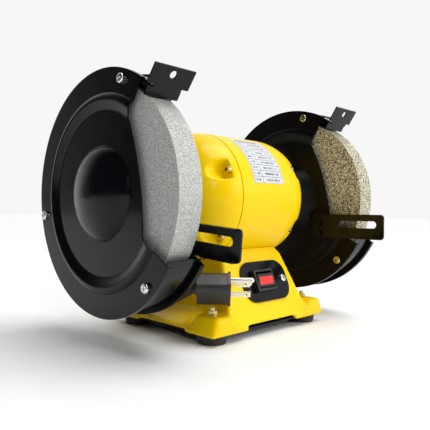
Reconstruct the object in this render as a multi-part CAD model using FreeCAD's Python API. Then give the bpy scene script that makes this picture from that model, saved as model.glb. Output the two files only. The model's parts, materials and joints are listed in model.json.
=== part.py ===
"""Two-wheel bench grinder, 200 mm class, as separate pieces. Millimetres.

X runs along the shaft, -Y is the operator's side, +Z is up. The origin is on the bench under the
middle of the motor. Angles round the shaft are in degrees, 0 at the front and 90 at the top.
Pieces that come in pairs are drawn on the +X side and mirrored.
"""
import FreeCAD, Part
import math
import os

from FreeCAD import Vector

os.makedirs("parts", exist_ok=True)

# ---------------------------------------------------------------- driving dimensions
shaft_height = 139.3        # shaft centre above the bench

# motor
motor_radius = 67.4
body_length = 79.4          # between the two end bells
body_wall = 4.0
bell_round = 50.0           # radius of the bell's rounded shoulder
bell_wall = 5.0
bell_nose_radius = 37.0     # where the shoulder ends
boss_radius = 31.0          # hub that carries the guard
bell_length = 64.3          # from the joint to the hub's end face
pocket_angle = 32.0         # screw pockets, above and below the horizontal
pocket_radius = 10.5
pocket_inset = 3.4          # pockets' centres inside the motor's surface
pocket_seat = 10.8          # from the joint to the pockets' seats
bell_turn = {"left": -7.0, "right": -1.0}
screw_inset = 5.4           # screw centres inside the motor's surface
screw_radius = 2.5
lug_radius = 5.5
lug_length = 10.0
core_length = 50.0          # stator stack
stator_bore = 32.5
air_gap = 0.5
winding_overhang = 19.0
fit_gap = 0.1               # pieces of one body that slide into each other
running_gap = 0.05          # radial clearance of the shaft in its bearings

# shaft line
journal_radius = 8.5
centre_radius = 11.0        # shaft between the bearings
arbor_radius = 7.95
bearing_radius = 20.0
bearing_width = 12.0
bearing_setback = 20.5      # inner side of each bearing inside the hub's end face
arbor_gap = 15.0            # hub's end face to the shaft's shoulder
shaft_beyond_nut = 1.9
wheel_radius = 100.0
wheel_width = 25.0
wheel_side_gap = 5.8        # inner plate to the wheel's inner side
flange_radius = 34.0
outer_flange_width = 4.0
blotter = 1.0
nut_flats = 24.0
nut_height = 10.0

# guards
guard_margin = 13.0         # guard's rim outside the wheel
guard_dish = 16.0           # depth of the inner plate's dish, from rim to hub
cover_gap = 5.7             # wheel's outer side to the cover
sheet = 1.5
lip_depth = 4.5
band_margin = 8.5           # band's outside, outside the wheel
bead_outer_inset = 22.0     # stiffening bead, inside the rim: outer foot, crest, inner foot
bead_crest_inset = 26.0
bead_inner_inset = 39.0
bead_height = 2.6
dome_radius = 44.0
dome_height = 14.0
guard_hub_bore = 19.0
mouth_top = 58.5            # angles of the mouth's upper and lower edges
mouth_bottom = -31.5
mouth_top_depth = 37.0      # depth of the mouth inside the rim, at its edges
mouth_bottom_depth = 41.0
mouth_bulge = 5.5
guard_turn = {"left": 0.0, "right": 4.5}
rim_screw_inset = 9.0
rim_screw_angles = (72.0, 192.0, 312.0)
rim_head_radius = 4.5
rim_head_height = 3.6
ear_length = 12.0
ear_width = 12.0

# eye-shield bracket and spark deflector, on the guard's upper edge
tab_angle = 52.5
tab_width = 44.0
tab_height = 19.9
tab_clear = 0.3             # full width of the tab starts this far above the guard's rim
tab_hole = 3.5
tab_hole_margin = 11.5      # hole's centre outside the guard's rim
deflector_angle = 54.0
deflector_width = 36.0
wheel_gap = 1.5             # spark deflector to a new wheel

# tool-rest channel
rest_projection = 19.5      # channel's front end outside the guard's rim
rest_back = 40.0
rest_height = 28.0
rest_sheet = 2.0
rest_gap = 3.6              # web's wheel side to the guard's inner plate
rest_flange = 4.0
rest_centre = 41.6          # centre line below the shaft, at the front end
rest_droop = 4.0
slot_width = 8.0
slot_end = 8.5              # slot's front end to the channel's front end
slot_length = 50.0
slot_rise = 2.6             # slot above the channel's centre line

# pedestal
base_width = 179.0
base_depth = 154.0
base_bottom = 8.4
skirt_top = 15.0
foot_top = 27.0
foot_inner = 67.0           # inner edge of the feet's tops
foot_valley = 50.0          # where the feet's inner slopes run out
foot_round = 5.0
foot_length = 34.0
foot_lean = 18.0            # lean of the feet's and skirt's side walls
front_lean = 24.1
neck_foot_width = 120.0     # neck's width at the top of the feet
neck_lean = 14.0
saddle_wrap = 15.1          # neck's top above the motor's lowest line
neck_shoulder = 9.0
base_wall = 5.0
arch_height = 5.0
arch_width = 77.0
saddle_gap = 0.15
cover_sheet = 1.5
rubber_radius = 15.0
foot_bolt_x = 72.0
foot_bolt_y = 58.0
foot_bolt_radius = 2.5

# switch, on the sloping front
plate_width = 72.0
plate_height = 43.0
plate_corner = 16.0
plate_sheet = 1.6
plate_offset = 5.6          # plate's centre to the right of the switch
switch_up = 47.0            # along the slope from the pedestal's bottom edge
bezel_width = 30.5
bezel_height = 23.0
bezel_proud = 5.0
bezel_wall = 2.6
rocker_rest = 9.0
plate_screw_half = 28.0
insert_width = 21.5
insert_height = 8.3

# lead
cord_radius = 3.75
coil_mean = 41.0            # radius at the middle of the coil's turns
coil_centre = (30.0, 150.0)
gland_x = -30.0
gland_z = 30.0
gland_length = 30.0

# ---------------------------------------------------------------- sizes that follow
body_end = body_length / 2
boss_face = body_end + bell_length
pocket_circle = motor_radius - pocket_inset
screw_circle = motor_radius - screw_inset
pocket_floor = body_end + pocket_seat
winding_reach = core_length / 2 + winding_overhang
bearing_face = boss_face - bearing_setback
arbor_shoulder = boss_face + arbor_gap
guard_inner = boss_face + guard_dish
neck_top = shaft_height - motor_radius + saddle_wrap
wheel_face = guard_inner + sheet + wheel_side_gap
wheel_outer = wheel_face + wheel_width
guard_outer = wheel_outer + cover_gap + sheet
shaft_end = wheel_outer + blotter + outer_flange_width + nut_height + shaft_beyond_nut
guard_radius = wheel_radius + guard_margin
band_radius = wheel_radius + band_margin
bead_outer = guard_radius - bead_outer_inset
bead_crest = guard_radius - bead_crest_inset
bead_inner = guard_radius - bead_inner_inset
mouth_top_radius = guard_radius - mouth_top_depth
mouth_bottom_radius = guard_radius - mouth_bottom_depth
rim_screw_circle = guard_radius - rim_screw_inset
rest_front = guard_radius + rest_projection
rest_web = guard_inner - rest_gap
slot_front = rest_front - slot_end
slot_back = slot_front - slot_length

# ---------------------------------------------------------------- helpers
AXIS = Vector(0, 0, shaft_height)
ALONG = Vector(1, 0, 0)


def save(name, shape):
    """Write one piece, moved back so that the grinder's box is centred on the origin."""
    shape = shape.copy()
    shape.translate(Vector(0, shaft_y, 0))
    if not shape.isValid():
        shape.fix(0.01, 0.001, 0.01)
    print("%-26s valid %s solids %d volume %.1f" % (name, shape.isValid(), len(shape.Solids), shape.Volume))
    shape.exportStep("parts/%s.step" % name)


def mirrored(shape):
    return shape.mirror(Vector(0, 0, 0), ALONG)


def save_pair(name, build):
    """Build a piece for each end: the left one is the mirror image of the one drawn at +X."""
    save(name + "_left", mirrored(build("left")))
    save(name + "_right", build("right"))


def save_both(name, build):
    """Build a set of like pieces for both ends as one node."""
    save(name, Part.makeCompound(mirrored(build("left")).Solids + build("right").Solids))


def at_angle(radius, angle, x=0.0):
    """Point at a radius and an angle round the shaft."""
    turn = math.radians(angle)
    return Vector(x, -radius * math.cos(turn), shaft_height + radius * math.sin(turn))


def turned(shape, angle):
    """The shape turned up round the shaft by an angle."""
    copy = shape.copy()
    copy.rotate(AXIS, Vector(-1, 0, 0), angle)
    return copy


def rod(radius, start, end, centre=AXIS):
    """Cylinder along X."""
    return Part.makeCylinder(radius, end - start, Vector(start, centre.y, centre.z), ALONG)


def ring(outer, inner, start, end, centre=AXIS):
    return rod(outer, start, end, centre).cut(rod(inner, start - 1, end + 1, centre))


def block(x0, x1, y0, y1, z0, z1):
    return Part.makeBox(x1 - x0, y1 - y0, z1 - z0, Vector(x0, y0, z0))


def spun(edges):
    """Solid of revolution about the shaft from the edges of a closed outline in the XZ plane."""
    face = Part.Face(Part.Wire(Part.__sortEdges__(edges)))
    return face.revolve(AXIS, ALONG, 360)


def outline(points):
    """Straight edges through (x, radius) points, closed."""
    corners = [Vector(x, 0, shaft_height + r) for x, r in points]
    corners.append(corners[0])
    return [Part.makeLine(a, b) for a, b in zip(corners, corners[1:])]


def spun_outline(points):
    return spun(outline(points))


def prism(points, start, end):
    """Solid between two X planes from points (y, z)."""
    corners = [Vector(start, y, z) for y, z in points]
    wire = Part.makePolygon(corners + corners[:1])
    return Part.Face(wire).extrude(Vector(end - start, 0, 0))


def fused(shapes):
    shape = shapes[0]
    for other in shapes[1:]:
        shape = shape.fuse(other)
    return shape.removeSplitter()


def hexagon(flats, start, height, centre, direction):
    """Hexagonal prism standing at a point along a direction."""
    side = flats / math.sqrt(3)
    corners = []
    for k in range(6):
        turn = math.radians(60 * k)
        corners.append(Vector(side * math.cos(turn), side * math.sin(turn), 0))
    prism_shape = Part.Face(Part.makePolygon(corners + corners[:1])).extrude(Vector(0, 0, height))
    prism_shape.translate(Vector(0, 0, start))
    prism_shape.Placement = placed(centre, direction).multiply(prism_shape.Placement)
    return prism_shape


def placed(centre, direction):
    """Placement that puts the local Z axis along a direction at a point."""
    return FreeCAD.Placement(centre, FreeCAD.Rotation(Vector(0, 0, 1), direction))


def pan_screw(centre, direction, head_radius, head_height, radius, length):
    """Cross-recessed screw: the head stands on `centre`, the shank points the other way."""
    head = Part.makeCylinder(head_radius, head_height)
    top_edges = [e for e in head.Edges if abs(e.BoundBox.ZMin - head_height) < 1e-6 and e.Length > head_radius]
    head = head.makeFillet(head_height * 0.45, top_edges)
    arm = head_radius * 1.1
    width = head_radius * 0.24
    depth = head_height * 0.45
    cross = Part.makeBox(arm, width, depth, Vector(-arm / 2, -width / 2, head_height - depth))
    other = Part.makeBox(width, arm, depth, Vector(-width / 2, -arm / 2, head_height - depth))
    screw = head.cut(cross).cut(other).fuse(Part.makeCylinder(radius, length + 0.2, Vector(0, 0, -length)))
    screw.Placement = placed(centre, direction)
    return screw.removeSplitter()


# ---------------------------------------------------------------- motor
body_bore = motor_radius - body_wall
spigot_depth = 4.0
pocket_angles = (pocket_angle, -pocket_angle, 180 - pocket_angle, 180 + pocket_angle)


def motor_body():
    """Housing tube with screw lugs inside each end."""
    tube = ring(motor_radius, body_bore, -body_end, body_end)
    lugs = []
    holes = []
    for side, sign in (("left", -1), ("right", 1)):
        for angle in pocket_angles:
            centre = at_angle(screw_circle, angle + bell_turn[side])
            inner = body_end - lug_length - spigot_depth
            start, end = sorted((sign * inner, sign * (body_end - spigot_depth - fit_gap)))
            lugs.append(rod(lug_radius, start, end, centre))
            holes.append(rod(screw_radius, start - spigot_depth - 2, end + spigot_depth + 2, centre))
    lug_ring = fused(lugs).common(rod(motor_radius - 1, -body_end, body_end))
    housing = tube.fuse(lug_ring)
    for hole in holes:
        housing = housing.cut(hole)
    for x in (-saddle_screw_x, saddle_screw_x):
        housing = housing.cut(Part.makeCylinder(saddle_screw_radius, shaft_height, Vector(x, 0, 0)))
    return housing


def shoulder_outline(start, round_radius, end_radius):
    """Arc of the bell's shoulder from the joint to where it has come down to end_radius."""
    centre_r = motor_radius - bell_round
    drop = end_radius - centre_r
    end_x = start + math.sqrt(round_radius ** 2 - drop ** 2)
    turn = math.atan2(end_x - start, drop) / 2
    middle = (start + round_radius * math.sin(turn), centre_r + round_radius * math.cos(turn))
    points = [(start, centre_r + round_radius), middle, (end_x, end_radius)]
    vectors = [Vector(x, 0, shaft_height + r) for x, r in points]
    return Part.Arc(*vectors).toShape(), end_x


def end_bell(side):
    """Cast bell: rounded shoulder, hub for the guard, four screw pockets, bearing seat."""
    arc, nose_x = shoulder_outline(body_end, bell_round, bell_nose_radius)
    hub_x = nose_x + bell_nose_radius - boss_radius
    rest = [(nose_x, bell_nose_radius), (hub_x, boss_radius), (boss_face, boss_radius),
            (boss_face, 0), (body_end, 0), (body_end, motor_radius)]
    corners = [Vector(x, 0, shaft_height + r) for x, r in rest]
    bell = spun([arc] + [Part.makeLine(a, b) for a, b in zip(corners, corners[1:])])
    spigot = ring(body_bore - fit_gap, body_bore - bell_wall, body_end - spigot_depth, body_end + 1)
    bell = bell.fuse(spigot)

    seat_x = bearing_face + bearing_width + wave_washer_gap
    cavity_round = bell_round - bell_wall
    inner_arc, cavity_x = shoulder_outline(body_end, cavity_round, bearing_radius + bell_wall)
    ceiling = bearing_face - 0.5
    cavity = spun([inner_arc] + [Part.makeLine(a, b) for a, b in zip(
        [Vector(cavity_x, 0, shaft_height + bearing_radius + bell_wall),
         Vector(cavity_x, 0, shaft_height),
         Vector(body_end, 0, shaft_height)],
        [Vector(cavity_x, 0, shaft_height),
         Vector(body_end, 0, shaft_height),
         Vector(body_end, 0, shaft_height + motor_radius - bell_wall)])])
    cavity = cavity.common(rod(motor_radius, body_end - 1, ceiling))
    keep = []
    cuts = []
    for angle in pocket_angles:
        angle += bell_turn[side]
        keep.append(rod(pocket_radius + bell_wall * 0.7, body_end, nose_x, at_angle(pocket_circle, angle)))
        cuts.append(rod(pocket_radius, pocket_floor, nose_x + 20, at_angle(pocket_circle, angle)))
        cuts.append(rod(screw_radius + fit_gap, body_end - spigot_depth - 1, pocket_floor + 1,
                        at_angle(screw_circle, angle)))
    bell = bell.cut(cavity.cut(fused(keep)))
    for cut in cuts:
        bell = bell.cut(cut)
    bell = bell.cut(rod(bearing_radius + fit_gap / 2, bearing_face - 1, seat_x))
    bell = bell.cut(rod(journal_radius + 2, bearing_face, boss_face + 1))
    for angle in hub_screw_angles:
        bell = bell.cut(rod(hub_screw_radius, boss_face - hub_screw_depth, boss_face + 1,
                            at_angle(hub_screw_circle, angle + guard_turn[side])))
    return bell


def bell_screws(side):
    """Four socket screws, each in its pocket."""
    screws = []
    for angle in pocket_angles:
        centre = at_angle(screw_circle, angle + bell_turn[side], pocket_floor)
        length = pocket_floor - body_end + spigot_depth + lug_length - 2
        head = rod(4.2, pocket_floor, pocket_floor + 3.4, centre)
        shank = rod(screw_radius, pocket_floor - length, pocket_floor + 0.2, centre)
        socket = hexagon(4.0, 1.4, 2.1, centre, ALONG)
        screws.append(head.fuse(shank).cut(socket).removeSplitter())
    return Part.makeCompound(screws)


def stator_core():
    """Stack of laminations with slots for the windings."""
    half = core_length / 2
    core = ring(body_bore - fit_gap, stator_bore, -half, half)
    slot_count = 24
    for k in range(slot_count):
        angle = 360.0 * k / slot_count
        slot = rod(2.6, -half - 1, half + 1, at_angle(stator_bore + 7.5, angle))
        mouth = rod(1.2, -half - 1, half + 1, at_angle(stator_bore + 4.3, angle))
        core = core.cut(slot).cut(mouth)
    return core


def winding(side):
    """Overhang of the copper windings outside the stack."""
    half = core_length / 2
    inner = stator_bore + 2.5
    outer = pocket_circle - pocket_radius - bell_wall * 0.7 - 1.0
    return spun_outline([(half, inner), (half, outer), (winding_reach - 4, outer), (winding_reach, outer - 4),
                         (winding_reach, inner + 4), (winding_reach - 4, inner)])


def rotor_core():
    """Squirrel cage: lamination stack and cast end rings with fan blades."""
    radius = stator_bore - air_gap
    half = core_length / 2
    cage = [rod(radius, -half, half)]
    for sign in (-1, 1):
        start, end = sorted((sign * half, sign * (half + 7)))
        cage.append(ring(radius - 1.5, radius - 11, start, end))
        for k in range(9):
            blade = block(min(start, sign * (half + 13)), max(end, sign * (half + 13)), -1.2, 1.2,
                          shaft_height + radius - 9, shaft_height + radius - 3)
            cage.append(turned(blade, 40 * k))
    return fused(cage).cut(rod(centre_radius + fit_gap / 5, -60, 60))


wave_washer_gap = 1.5
saddle_screw_x = 24.0
saddle_screw_radius = 3.0
hub_screw_angles = (0.0, 90.0, 180.0, 270.0)
hub_screw_circle = 24.5
hub_screw_radius = 2.5
hub_screw_depth = 9.0


def shaft():
    """Stepped shaft with threaded arbors."""
    bearing_shoulder = bearing_face
    half = [(0, 0), (0, centre_radius), (bearing_shoulder, centre_radius), (bearing_shoulder, journal_radius),
            (arbor_shoulder, journal_radius), (arbor_shoulder, arbor_radius), (shaft_end - 1.5, arbor_radius),
            (shaft_end, arbor_radius - 1.5), (shaft_end, 0)]
    right = spun_outline(half)
    return fused([right, mirrored(right)])


def bearing(side):
    """Deep-groove ball bearing with shields."""
    body = ring(bearing_radius, journal_radius + running_gap, bearing_face + 0.1, bearing_face + bearing_width)
    middle = (bearing_radius + journal_radius) / 2
    for start in (bearing_face, bearing_face + bearing_width - 1.0):
        groove = ring(middle + 3.6, middle - 3.6, start, start + 1.1)
        body = body.cut(groove)
    return body


def wave_washer(side):
    """Spring washer that loads the bearing."""
    start = bearing_face + bearing_width + 0.1
    return ring(bearing_radius - 1, bearing_radius - 4.5, start, start + wave_washer_gap - 0.3)


def rating_plate():
    """Sticker wrapped over the motor's front."""
    low, high = 12.4, 65.0
    label = ring(motor_radius + 0.3, motor_radius + 0.02, -22.6, 25.9)
    edge = 2 * motor_radius
    wedge = prism([(0, shaft_height)] + [(p.y, p.z) for p in
                  (at_angle(edge, low), at_angle(edge, (low + high) / 2), at_angle(edge, high))], -30, 30)
    return label.common(wedge)


# ---------------------------------------------------------------- wheels and arbors
def wheel(side):
    """Aluminium-oxide wheel with its bush."""
    disc = ring(wheel_radius, arbor_radius + fit_gap / 2, wheel_face, wheel_outer)
    return disc


def blotters(side):
    """Paper washers on both sides of the wheel."""
    bore = arbor_radius + fit_gap
    inner = ring(flange_radius + 3, bore, wheel_face - blotter, wheel_face)
    outer = ring(flange_radius + 3, bore, wheel_outer, wheel_outer + blotter)
    return Part.makeCompound([inner, outer])


def inner_flange(side):
    """Machined flange against the shaft's shoulder, relieved in the middle."""
    face = wheel_face - blotter
    bore = arbor_radius + fit_gap / 2
    return spun_outline([(arbor_shoulder, bore), (arbor_shoulder, 16), (face - 4, flange_radius),
                         (face, flange_radius), (face, flange_radius - 9), (face - 1.2, flange_radius - 10),
                         (face - 1.2, bore)])


def outer_flange(side):
    """Pressed flange under the nut."""
    start = wheel_outer + blotter
    bore = arbor_radius + fit_gap / 2
    end = start + outer_flange_width
    return spun_outline([(start, flange_radius), (end - 1.6, flange_radius), (end, flange_radius - 9),
                         (end, bore), (start + 1.2, bore), (start + 1.2, flange_radius - 10),
                         (start, flange_radius - 9)])


def arbor_nut(side):
    """Hexagon nut; the left one has a left-hand thread."""
    start = wheel_outer + blotter + outer_flange_width
    nut = hexagon(nut_flats, 0, nut_height, Vector(start, 0, shaft_height), ALONG)
    return nut.cut(rod(arbor_radius + fit_gap / 5, start - 1, start + nut_height + 1))


# ---------------------------------------------------------------- guards
def pressed_profile(plane, out, with_dome):
    """Edges of the pressed sheet's section. `out` is +1 or -1, the side that bead and dome stand on."""
    def p(offset, radius):
        return Vector(plane + out * offset, 0, shaft_height + radius)

    foot = -0.5
    bead = [p(0, bead_outer), p(bead_height * 0.7, (bead_outer + bead_crest) / 2), p(bead_height, bead_crest),
            p(bead_height * 0.4, (bead_crest * 0.45 + bead_inner * 0.55)), p(foot, bead_inner)]
    edges = [Part.makeLine(p(0, guard_radius), bead[0]), smooth(bead)]
    dome_step = dome_radius - 6.5
    edges.append(Part.makeLine(bead[-1], p(foot, dome_radius)))
    if with_dome:
        dome = [p(foot, dome_radius), p(dome_height * 0.42, dome_step), p(dome_height * 0.74, dome_radius * 0.6),
                p(dome_height * 0.95, dome_radius * 0.3), p(dome_height, 0)]
        edges.append(smooth(dome))
        return edges, dome[-1]
    flat = guard_inner - boss_face
    dome = [p(foot, dome_radius), p(flat * 0.5, dome_step), p(flat, boss_radius)]
    edges.append(smooth(dome))
    edges.append(Part.makeLine(dome[-1], p(flat, guard_hub_bore)))
    return edges, p(flat, guard_hub_bore)


def smooth(points):
    curve = Part.BSplineCurve()
    curve.interpolate(points)
    return curve.toShape()


def pressed_plate(plane, out, with_dome):
    """Pressed sheet with a lip turned towards the wheel."""
    edges, end = pressed_profile(plane, out, with_dome)
    shift = Vector(-out * sheet, 0, 0)
    back = []
    for edge in edges:
        copy = edge.copy()
        copy.translate(shift)
        back.append(copy)
    start = Vector(plane, 0, shaft_height + guard_radius)
    ends = [Part.makeLine(start, start + shift)]
    ends.append(Part.makeLine(end, end + shift))
    plate = spun(edges + back + ends)
    low, high = sorted((plane - out * sheet * 0.5, plane - out * lip_depth))
    return plate.fuse(ring(guard_radius, guard_radius - sheet, low, high)).removeSplitter()


def mouth_cut():
    """The front sector that is cut out of both plates."""
    far = guard_radius + 30
    upper = at_angle(mouth_top_radius, mouth_top)
    lower = at_angle(mouth_bottom_radius, mouth_bottom)
    along = (lower - upper).normalize()
    middle = (upper + lower) * 0.5 + along.cross(ALONG) * mouth_bulge
    if middle.y > (upper.y + lower.y) / 2:
        middle = (upper + lower) * 0.5 - along.cross(ALONG) * mouth_bulge
    far_upper = at_angle(far, mouth_top)
    far_lower = at_angle(far, mouth_bottom)
    far_middle = at_angle(far * 1.5, (mouth_top + mouth_bottom) / 2)
    edges = [Part.Arc(lower, middle, upper).toShape(), Part.makeLine(upper, far_upper),
             Part.makeLine(far_upper, far_middle), Part.makeLine(far_middle, far_lower),
             Part.makeLine(far_lower, lower)]
    face = Part.Face(Part.Wire(edges))
    face.translate(Vector(guard_inner - 30, 0, 0))
    return face.extrude(Vector(guard_outer - guard_inner + 60, 0, 0))


def drilled_rim(plate):
    for angle in rim_screw_angles:
        plate = plate.cut(rod(screw_radius + fit_gap, guard_inner - 10, guard_outer + 10,
                              at_angle(rim_screw_circle, angle)))
    return plate


def guard_cover(side):
    """Outer cover: flat rim, bead, domed middle over the arbor nut."""
    plate = pressed_plate(guard_outer, 1, True).cut(mouth_cut())
    return turned(drilled_rim(plate), guard_turn[side])


def guard_plate(side):
    """Inner plate, screwed to the end bell's hub."""
    plate = drilled_rim(pressed_plate(guard_inner, -1, False).cut(mouth_cut()))
    for angle in hub_screw_angles:
        plate = plate.cut(rod(hub_screw_radius + 0.3, boss_face - 2, boss_face + 5,
                              at_angle(hub_screw_circle, angle)))
    for y, drop in rest_rivet_places():
        plate = plate.cut(rod(rivet_radius + fit_gap, guard_inner - 10, guard_inner + 10,
                              Vector(0, y, shaft_height - drop)))
    return turned(plate, guard_turn[side])


def sector(radius, low, high, start, end):
    """Wedge about the shaft between two angles, out to beyond a radius."""
    steps = max(2, int((high - low) / 40) + 1)
    far = radius * 1.6
    points = [(0, shaft_height)]
    for k in range(steps + 1):
        corner = at_angle(far, low + (high - low) * k / steps)
        points.append((corner.y, corner.z))
    return prism(points, start, end)


def guard_band(side):
    """Rolled strip between the plates, with screw ears bent in at both edges."""
    start = guard_inner + sheet + 0.05
    end = guard_outer - sheet - 0.05
    whole = ring(band_radius, band_radius - sheet, start, end)
    band = whole.common(sector(band_radius, deflector_angle, 360 + mouth_bottom + 1.5, start - 1, end + 1))
    ears = []
    for angle in rim_screw_angles:
        middle = shaft_height + band_radius - sheet * 0.5
        for low in (start, end - sheet):
            ear = block(low, low + sheet, -ear_width / 2, ear_width / 2, middle - ear_length, middle)
            ears.append(turned(ear, angle - 90))
    band = fused([band] + ears)
    for angle in rim_screw_angles:
        band = band.cut(rod(screw_radius, start - 1, end + 1, at_angle(rim_screw_circle, angle)))
    return turned(band, guard_turn[side])


def cover_screws(side):
    """Three cross-recessed screws that hold the cover to the band."""
    screws = [pan_screw(at_angle(rim_screw_circle, a, guard_outer), ALONG, rim_head_radius, rim_head_height,
                        screw_radius, 2 * sheet + 1.0) for a in rim_screw_angles]
    return turned(Part.makeCompound(screws), guard_turn[side])


def plate_screws(side):
    """Three screws that hold the inner plate to the band."""
    screws = [pan_screw(at_angle(rim_screw_circle, a, guard_inner), Vector(-1, 0, 0), rim_head_radius,
                        rim_head_height, screw_radius, 2 * sheet + 1.0) for a in rim_screw_angles]
    return turned(Part.makeCompound(screws), guard_turn[side])


def hub_screws(side):
    """Four screws that hold the guard to the end bell."""
    screws = [pan_screw(at_angle(hub_screw_circle, a, boss_face + sheet), ALONG, 4.2, 3.0, hub_screw_radius,
                        hub_screw_depth) for a in hub_screw_angles]
    return turned(Part.makeCompound(screws), guard_turn[side])


def radial_plate(angle, width, low, high, thickness):
    """Flat plate in a radial plane across the guard; its back lies in the plane."""
    middle = (guard_inner + guard_outer) / 2
    plate = block(middle - width / 2, middle + width / 2, -thickness, 0, shaft_height + low, shaft_height + high)
    return turned(plate, angle - 90)


def band_strap(width, low_angle, high_angle, gap, thickness):
    """Strip that lies on the outside of the band."""
    middle = (guard_inner + guard_outer) / 2
    strap = ring(band_radius + gap + thickness, band_radius + gap, middle - width / 2, middle + width / 2)
    return strap.common(sector(band_radius, low_angle, high_angle, guard_inner - 20, guard_outer + 20))


def shield_bracket(side):
    """Bracket for an eye shield: a strap on the band and an upright tab with one hole."""
    strap_radius = band_radius + sheet + 0.1
    top = strap_radius + sheet + tab_height
    tab = radial_plate(tab_angle, tab_width, guard_radius + tab_clear, top, sheet)
    neck = radial_plate(tab_angle, deflector_width - 6, strap_radius, top, sheet)
    strap = band_strap(deflector_width - 6, tab_angle, deflector_angle + 9, sheet + 0.1, sheet)
    hole_centre = at_angle(guard_radius + tab_hole_margin, tab_angle, (guard_inner + guard_outer) / 2)
    turn = math.radians(tab_angle)
    across = Vector(0, math.sin(turn), math.cos(turn))
    hole = Part.makeCylinder(tab_hole, 20, hole_centre - across * 10, across)
    return turned(fused([tab, neck, strap]).cut(hole), guard_turn[side])


def spark_deflector(side):
    """Angle plate over the mouth: a strap on the band and a leg down towards the wheel."""
    low = wheel_radius + wheel_gap
    leg = radial_plate(deflector_angle, deflector_width, low, band_radius + sheet, sheet)
    strap = band_strap(deflector_width, deflector_angle, deflector_angle + 9, 0.05, sheet - 0.05)
    return turned(fused([leg, strap]), guard_turn[side])


rivet_radius = 2.5


def rest_rivet_places():
    """(y, distance below the shaft) of the rivets that hold the tool-rest channel."""
    y = -(rest_back + 8.0)
    return [(y, rest_centre - 10.0), (y, rest_centre + 4.0)]


def drooped(shape):
    """Turned down about the channel's front end."""
    copy = shape.copy()
    copy.rotate(Vector(0, -rest_front, shaft_height - rest_centre), Vector(-1, 0, 0), -rest_droop)
    return copy


def rest_bracket(side):
    """Channel with a long slot, in which a tool rest would be clamped."""
    top = shaft_height - rest_centre + rest_height / 2
    bottom = shaft_height - rest_centre - rest_height / 2
    web = block(rest_web - rest_sheet, rest_web, -rest_front, -rest_back, bottom, top)
    corners = [e for e in web.Edges if abs(e.BoundBox.YLength) < 1e-6 and abs(e.BoundBox.ZLength) < 1e-6
               and e.BoundBox.YMax < -rest_front + 1]
    web = web.makeFillet(4.0, corners)
    tip = rest_web + rest_flange
    top_lip = block(rest_web - rest_sheet, tip, -rest_front + 4, -rest_back, top - rest_sheet, top)
    low_lip = block(rest_web - rest_sheet, tip, -rest_front + 4, -band_radius * 0.84, bottom, bottom + rest_sheet)
    slot_z = shaft_height - rest_centre + slot_rise
    radius = slot_width / 2
    slot = block(rest_web - 9, rest_web + 9, -slot_front + radius, -slot_back - radius,
                 slot_z - radius, slot_z + radius)
    for y in (-slot_front + radius, -slot_back - radius):
        slot = slot.fuse(rod(radius, rest_web - 9, rest_web + 9, Vector(0, y, slot_z)))
    channel = drooped(fused([web, top_lip, low_lip]).cut(slot))
    for y, drop in rest_rivet_places():
        channel = channel.cut(rod(rivet_radius + fit_gap, rest_web - 9, rest_web + 9,
                                  Vector(0, y, shaft_height - drop)))
    return turned(channel, guard_turn[side])


def rest_rivets(side):
    """Two rivets with spacers between the channel and the plate."""
    plate_face = guard_inner + 0.5
    rivets = []
    for y, drop in rest_rivet_places():
        centre = Vector(0, y, shaft_height - drop)
        rivets.append(fused([rod(rivet_radius, rest_web - rest_sheet - 1, plate_face + sheet + 1, centre),
                             rod(5.0, rest_web - rest_sheet - 2, rest_web - rest_sheet, centre),
                             rod(5.0, rest_web + 0.02, plate_face - 0.02, centre),
                             rod(4.2, plate_face + sheet, plate_face + sheet + 1.5, centre)]))
    return turned(Part.makeCompound(rivets), guard_turn[side])


# ---------------------------------------------------------------- pedestal
def frustum(x_low, y_low, z_low, x_lean, y_lean, z_high, x_middle=0.0, y_middle=0.0):
    """Block with leaning sides: half widths at the bottom, lean angles in degrees."""
    rise = z_high - z_low
    x_high = x_low - rise * math.tan(math.radians(x_lean))
    y_high = y_low - rise * math.tan(math.radians(y_lean))
    wires = []
    for hx, hy, z in ((x_low, y_low, z_low), (x_high, y_high, z_high)):
        corners = [Vector(x_middle + sx * hx, y_middle + sy * hy, z)
                   for sx, sy in ((-1, -1), (1, -1), (1, 1), (-1, 1))]
        wires.append(Part.makePolygon(corners + corners[:1]))
    return Part.makeLoft(wires, True, True)


def front_y(z, inset=0.0):
    """Half depth of the neck at a height."""
    lean = math.radians(front_lean)
    return base_depth / 2 - (z - base_bottom) * math.tan(lean) - inset / math.cos(lean)


def foot_block(inset, bottom):
    """Right front foot: outer side leans in, inner side slopes down to the front panel."""
    side = base_width / 2 - inset
    top = foot_top - inset
    lean = (foot_top - base_bottom) * math.tan(math.radians(foot_lean))
    points = [(foot_valley + inset, bottom), (side, bottom), (side - lean, top), (foot_inner + inset, top),
              (foot_valley + inset, base_bottom + 4)]
    front = -base_depth / 2 + inset
    corners = [Vector(x, front, z) for x, z in points]
    foot = Part.Face(Part.makePolygon(corners + corners[:1])).extrude(Vector(0, foot_length - 2 * inset, 0))
    if inset:
        return foot
    edges = [e for e in foot.Edges if e.BoundBox.ZMax > top - 1e-6 and e.BoundBox.XMax > foot_inner + 1]
    return foot.makeFillet(foot_round, edges)


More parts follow.
